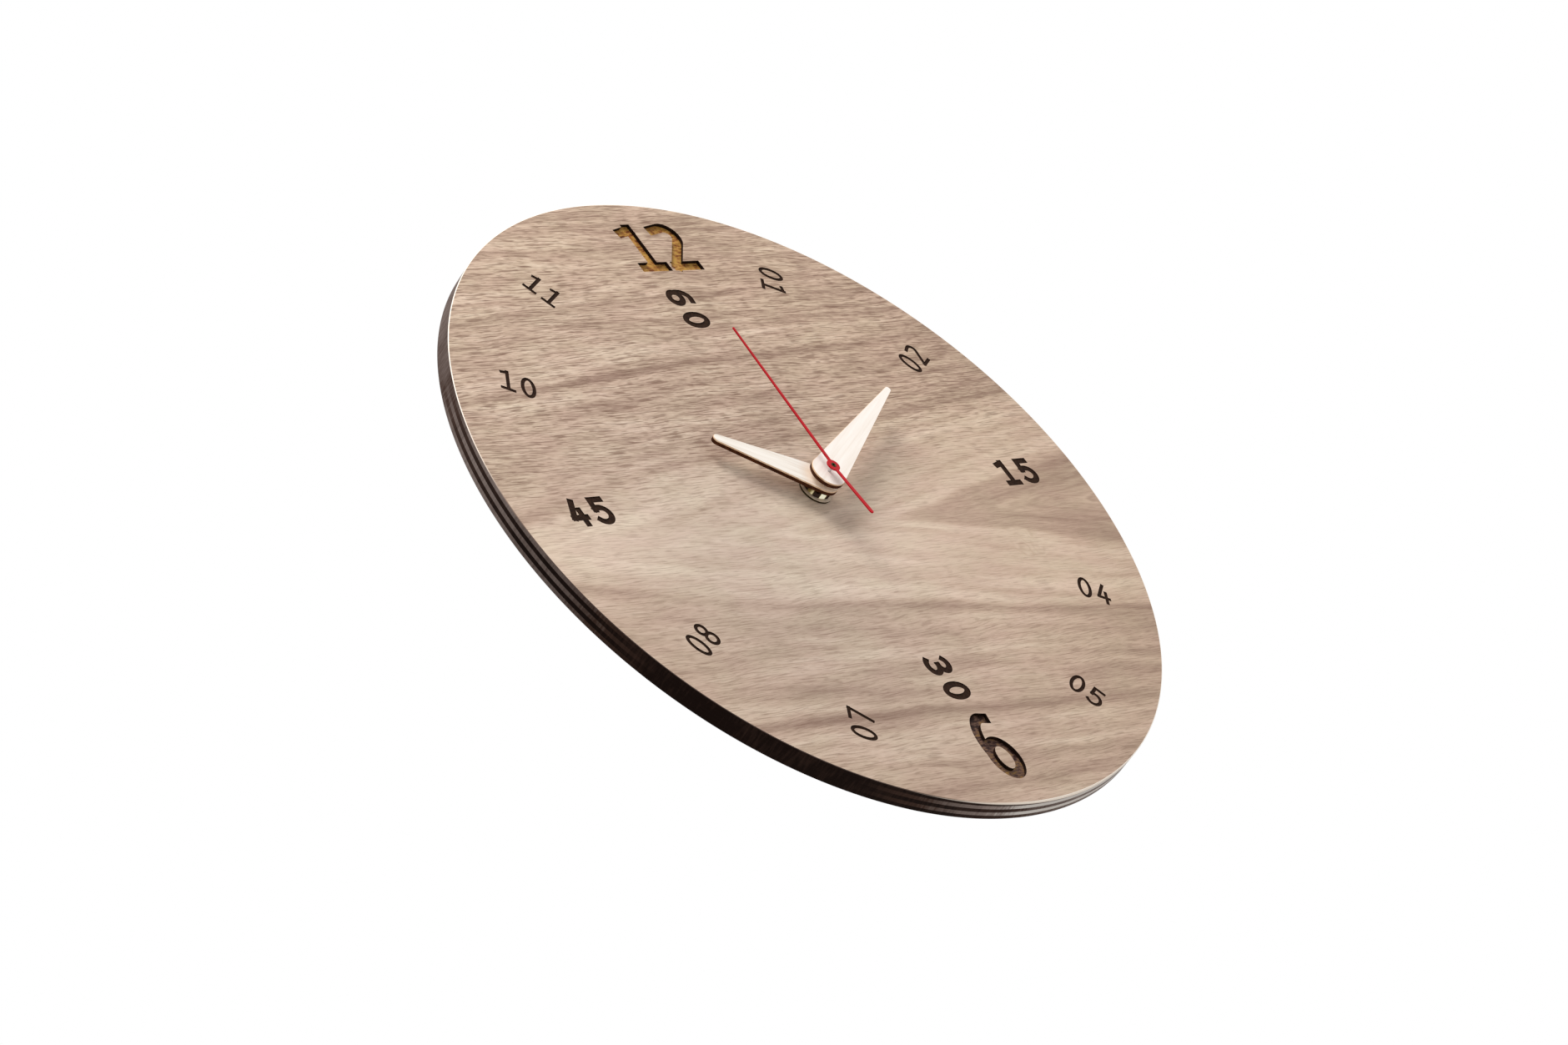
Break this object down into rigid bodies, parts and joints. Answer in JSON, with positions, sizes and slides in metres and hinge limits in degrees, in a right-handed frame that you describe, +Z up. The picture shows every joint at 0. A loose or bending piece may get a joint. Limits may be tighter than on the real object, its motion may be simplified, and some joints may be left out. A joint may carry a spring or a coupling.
{
  "type": "wall clock",
  "caption": "Round wooden wall clock: laser-cut plywood dial with sunk numerals, tapered wooden hands, a red second hand and a battery quartz movement hung from the wall.",
  "frame": {"origin": "where the axis of the hands meets the wall: the middle of the movement's flat back", "axes": "+X to 3 o'clock, +Y into the wall along the axis of the hands so that the dial faces -Y, +Z up to 12 o'clock"},
  "size_m": [0.3, 0.0413, 0.3],
  "materials": {
    "walnut_veneer": "satin",
    "cross_ply": "matte",
    "core_ply_wood": "matte",
    "pale_wood": "satin",
    "black_plastic": "fine spark texture",
    "white_plastic": "smooth",
    "clear_plastic": "smooth",
    "brass": "turned and polished",
    "steel_sheet": "rolled",
    "steel_rod": "ground",
    "plated_steel": "bright plate",
    "rubber": "matte",
    "cell_jacket": "shrunk film",
    "circuit_laminate": "solder mask",
    "enamelled_copper": "clear enamel",
    "magnet_ferrite": "pressed and sintered",
    "red_paint": "gloss enamel"
  },
  "bodies": {
    "clock_body": {"back_ply": "walnut_veneer", "rear_cross_ply": "cross_ply", "core_ply": "core_ply_wood", "front_cross_ply": "cross_ply", "face_ply": "walnut_veneer", "movement_case": "black_plastic", "rear_cover": "black_plastic", "wheel_bridge": "white_plastic", "threaded_bush": "brass", "hanger_plate": "steel_sheet", "rubber_gasket": "rubber", "dial_washer": "brass", "clamp_nut": "brass", "dry_cell": "cell_jacket", "positive_contact": "plated_steel", "negative_contact": "plated_steel", "circuit_board": "circuit_laminate", "quartz_crystal": "plated_steel", "stator_core": "steel_sheet", "coil_bobbin": "white_plastic", "coil_winding": "enamelled_copper"},
    "second_train": {"second_wheel": "clear_plastic", "second_arbor": "steel_rod", "second_hand": "red_paint", "second_collet": "brass"},
    "third_train": {"third_wheel": "white_plastic"},
    "centre_train": {"centre_wheel": "clear_plastic"},
    "intermediate_train": {"intermediate_wheel": "white_plastic"},
    "rotor_train": {"rotor_magnet": "magnet_ferrite", "rotor_pinion": "white_plastic"},
    "minute_train": {"minute_cannon": "brass", "minute_hand": "pale_wood"},
    "motion_train": {"motion_wheel": "white_plastic"},
    "hour_train": {"hour_wheel": "black_plastic", "hour_hand": "pale_wood"},
    "setting_train": {"setting_knob": "white_plastic"}
  },
  "joints": [
    {"name": "second_spin", "type": "hinge", "parent": "clock_body", "child": "second_train", "pos_m": [0, -0.02, 0], "axis": [0, 1, 0], "continuous": true},
    {"name": "third_spin", "type": "hinge", "parent": "clock_body", "child": "third_train", "pos_m": [0.00459, -0.0095, 0.00795], "axis": [0, 1, 0], "continuous": true},
    {"name": "centre_spin", "type": "hinge", "parent": "clock_body", "child": "centre_train", "pos_m": [0, -0.011, 0], "axis": [0, 1, 0], "continuous": true},
    {"name": "intermediate_spin", "type": "hinge", "parent": "clock_body", "child": "intermediate_train", "pos_m": [-0.00902, -0.007, -0.00328], "axis": [0, 1, 0], "continuous": true},
    {"name": "rotor_spin", "type": "hinge", "parent": "clock_body", "child": "rotor_train", "pos_m": [-0.01217, -0.0095, 0.00217], "axis": [0, 1, 0], "continuous": true},
    {"name": "minute_spin", "type": "hinge", "parent": "clock_body", "child": "minute_train", "pos_m": [0, -0.024, 0], "axis": [0, 1, 0], "continuous": true},
    {"name": "motion_spin", "type": "hinge", "parent": "clock_body", "child": "motion_train", "pos_m": [0.009, -0.0125, 0], "axis": [0, 1, 0], "continuous": true},
    {"name": "hour_spin", "type": "hinge", "parent": "clock_body", "child": "hour_train", "pos_m": [0, -0.02, 0], "axis": [0, 1, 0], "continuous": true},
    {"name": "setting_spin", "type": "hinge", "parent": "clock_body", "child": "setting_train", "pos_m": [0.018, -0.004, 0], "axis": [0, 1, 0], "continuous": true}
  ],
  "couplings": [
    {"joint": "third_spin", "follows": "second_spin", "ratio": -0.13333},
    {"joint": "centre_spin", "follows": "second_spin", "ratio": 0.016667},
    {"joint": "intermediate_spin", "follows": "second_spin", "ratio": -5},
    {"joint": "rotor_spin", "follows": "second_spin", "ratio": 30},
    {"joint": "motion_spin", "follows": "minute_spin", "ratio": -0.33333},
    {"joint": "hour_spin", "follows": "minute_spin", "ratio": 0.083333},
    {"joint": "setting_spin", "follows": "minute_spin", "ratio": 1}
  ]
}
